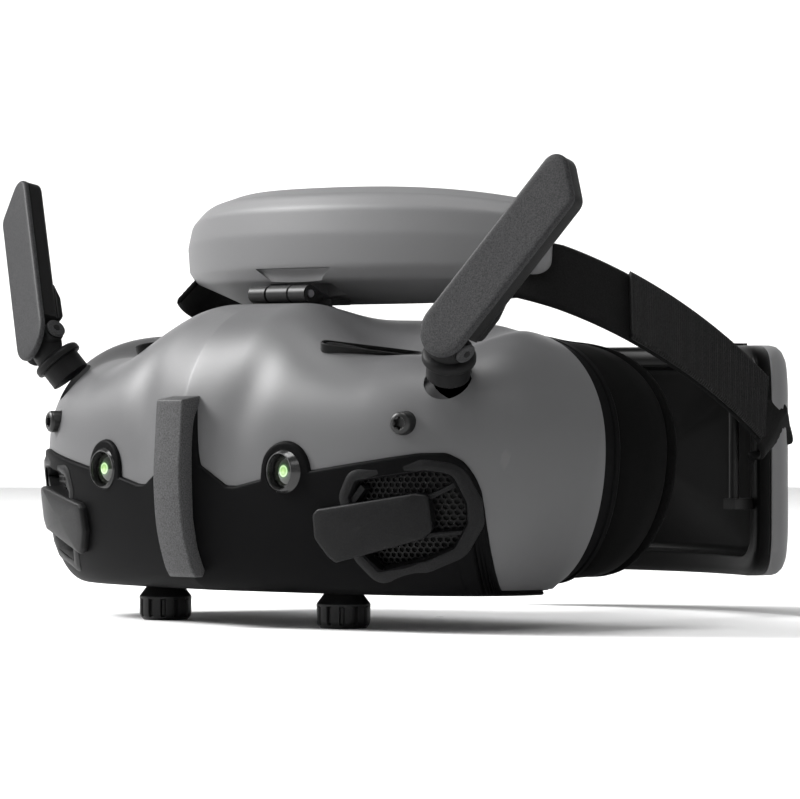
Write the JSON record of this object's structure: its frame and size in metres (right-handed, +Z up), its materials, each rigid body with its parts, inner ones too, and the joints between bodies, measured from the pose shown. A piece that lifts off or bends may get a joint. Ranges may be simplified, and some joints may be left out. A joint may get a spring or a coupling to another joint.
{
  "type": "video flying goggles",
  "caption": "Video goggles for flying a drone, with a front camera pair, folding antennas, a hinged forehead pad and a headband with a rear battery pack.",
  "frame": {"origin": "on the ground under the focus knobs, at the centre of the bounding box seen from above", "axes": "+Z up, -Y the way the goggles look, +X towards the wearer's left"},
  "size_m": [0.2042, 0.1713, 0.1066],
  "materials": {
    "shell_grey": "satin grey moulded plastic",
    "cover_black": "fine-textured black plastic",
    "fin_grey": "grained dark grey plastic",
    "blade_grey": "grained dark grey plastic",
    "blade_black": "satin black plastic",
    "soft_rubber": "soft black rubber",
    "foam_fabric": "black fabric over foam",
    "inner_black": "matt black plastic",
    "gloss_black": "gloss black plastic",
    "camera_body": "dark anodised",
    "camera_glass": "coated lens with a green sheen",
    "screw_black": "black oxide",
    "mesh_black": "perforated black grille",
    "panel_black": "grained black plastic",
    "hinge_black": "matt black plastic",
    "steel": "turned steel",
    "board": "green solder mask",
    "heat_sink_metal": "extruded fins",
    "button_rubber": "satin black keys",
    "display_black": "dark display glass",
    "eye_glass": "coated eyepiece lens",
    "knob_black": "matt black with flutes",
    "pad_grey": "satin grey moulded plastic",
    "strap_weave": "fine woven elastic",
    "strap_ribbed": "ribbed elastic webbing",
    "cell_foil": "foil pouch"
  },
  "bodies": {
    "housing": {"upper_shell": "shell_grey", "lower_cover": "cover_black", "center_fin": "fin_grey", "bottom_plate": "cover_black", "frame_ring": "cover_black", "light_shield": "soft_rubber", "face_foam": "foam_fabric", "eye_plate": "inner_black", "bulkhead": "inner_black", "camera_bezel_left": "gloss_black", "camera_bezel_right": "gloss_black", "camera_modules": "camera_body", "camera_lenses": "camera_glass", "shell_screws": "screw_black", "base_screws": "screw_black", "top_vent_grilles": "mesh_black", "intake_panel_left": "panel_black", "intake_panel_right": "panel_black", "intake_meshes": "mesh_black", "hinge_bracket": "hinge_black", "hinge_pin": "steel", "guide_rod": "steel", "main_board": "board", "heat_sink": "heat_sink_metal", "fan_housing": "inner_black", "proximity_sensor": "gloss_black", "usb_c_port": "steel", "card_tray": "steel"},
    "antenna_collar_left": {"antenna_collar_left": "blade_black"},
    "antenna_blade_left": {"antenna_blade_left": "blade_grey", "antenna_cap_left": "blade_black"},
    "carriage_left": {"ipd_carriage_left": "inner_black", "display_left": "display_black"},
    "eyepiece_left": {"eyepiece_left": "inner_black", "eyepiece_lens_left": "eye_glass"},
    "focus_knob_left": {"focus_knob_left": "knob_black"},
    "antenna_collar_right": {"antenna_collar_right": "blade_black"},
    "antenna_blade_right": {"antenna_blade_right": "blade_grey", "antenna_cap_right": "blade_black"},
    "carriage_right": {"ipd_carriage_right": "inner_black", "display_right": "display_black"},
    "eyepiece_right": {"eyepiece_right": "inner_black", "eyepiece_lens_right": "eye_glass"},
    "focus_knob_right": {"focus_knob_right": "knob_black"},
    "fan_rotor": {"fan_rotor": "inner_black"},
    "joystick": {"joystick": "button_rubber"},
    "back_button": {"back_button": "button_rubber"},
    "record_button": {"record_button": "button_rubber"},
    "headband": {"pad_shell": "pad_grey", "pad_cushion": "foam_fabric", "strap_left": "strap_weave", "strap_right": "strap_weave"},
    "battery_pack": {"strap_fold_left": "strap_ribbed", "strap_fold_right": "strap_ribbed", "battery_shell": "shell_grey", "battery_inner_cover": "cover_black", "battery_cells": "cell_foil", "battery_port": "steel", "strap_bars": "hinge_black"},
    "power_button": {"power_button": "button_rubber"}
  },
  "joints": [
    {"name": "antenna_swivel_left", "type": "hinge", "parent": "housing", "child": "antenna_collar_left", "pos_m": [0.0697, -0.0609, 0.061], "axis": [-0.4851, 0.3911, -0.7821], "range_deg": [-30, 30]},
    {"name": "antenna_fold_left", "type": "hinge", "parent": "antenna_collar_left", "child": "antenna_blade_left", "pos_m": [0.0728, -0.0634, 0.066], "axis": [-0.8045, -0.0512, 0.5917], "range_deg": [0, 48]},
    {"name": "ipd_slide_left", "type": "slide", "parent": "housing", "child": "carriage_left", "axis": [1, 0, 0], "range_m": [-0.004, 0.004]},
    {"name": "focus_turn_left", "type": "hinge", "parent": "carriage_left", "child": "focus_knob_left", "pos_m": [0.032, -0.059, 0.005], "axis": [0, 0, 1], "range_deg": [-135, 135]},
    {"name": "focus_travel_left", "type": "slide", "parent": "carriage_left", "child": "eyepiece_left", "axis": [0, 1, 0], "range_m": [-0.002, 0.002]},
    {"name": "antenna_swivel_right", "type": "hinge", "parent": "housing", "child": "antenna_collar_right", "pos_m": [-0.0697, -0.0609, 0.061], "axis": [-0.4851, -0.3911, 0.7821], "range_deg": [-30, 30]},
    {"name": "antenna_fold_right", "type": "hinge", "parent": "antenna_collar_right", "child": "antenna_blade_right", "pos_m": [-0.0728, -0.0634, 0.066], "axis": [-0.8045, 0.0512, -0.5917], "range_deg": [0, 48]},
    {"name": "ipd_slide_right", "type": "slide", "parent": "housing", "child": "carriage_right", "axis": [-1, 0, 0], "range_m": [-0.004, 0.004]},
    {"name": "focus_turn_right", "type": "hinge", "parent": "carriage_right", "child": "focus_knob_right", "pos_m": [-0.032, -0.059, 0.005], "axis": [0, 0, 1], "range_deg": [-135, 135]},
    {"name": "focus_travel_right", "type": "slide", "parent": "carriage_right", "child": "eyepiece_right", "axis": [0, 1, 0], "range_m": [-0.002, 0.002]},
    {"name": "fan_spin", "type": "hinge", "parent": "housing", "child": "fan_rotor", "pos_m": [0, -0.073, 0.035], "axis": [0, -1, 0], "continuous": true},
    {"name": "joystick_press", "type": "slide", "parent": "housing", "child": "joystick", "axis": [1, 0, 0], "range_m": [0, 0.0005], "stiffness_N_per_m": 400, "springref_m": -0.0005},
    {"name": "back_press", "type": "slide", "parent": "housing", "child": "back_button", "axis": [1, 0, 0], "range_m": [0, 0.0005], "stiffness_N_per_m": 400, "springref_m": -0.0005},
    {"name": "record_press", "type": "slide", "parent": "housing", "child": "record_button", "axis": [1, 0, 0], "range_m": [0, 0.0005], "stiffness_N_per_m": 400, "springref_m": -0.0005},
    {"name": "visor_flip", "type": "hinge", "parent": "housing", "child": "headband", "pos_m": [0, -0.05, 0.077], "axis": [1, 0, 0], "range_deg": [-4, 85]},
    {"name": "headband_length", "type": "slide", "parent": "headband", "child": "battery_pack", "axis": [0, 0.9404, -0.3401], "range_m": [-0.006, 0.024], "deforming": ["strap_left", "strap_right"]},
    {"name": "power_press", "type": "slide", "parent": "battery_pack", "child": "power_button", "axis": [0, 0, -1], "range_m": [0, 0.0005], "stiffness_N_per_m": 400, "springref_m": -0.0005}
  ],
  "couplings": [
    {"joint": "focus_turn_left", "follows": "focus_travel_left", "rad_per_m": 1178.1},
    {"joint": "focus_turn_right", "follows": "focus_travel_right", "rad_per_m": 1178.1}
  ]
}
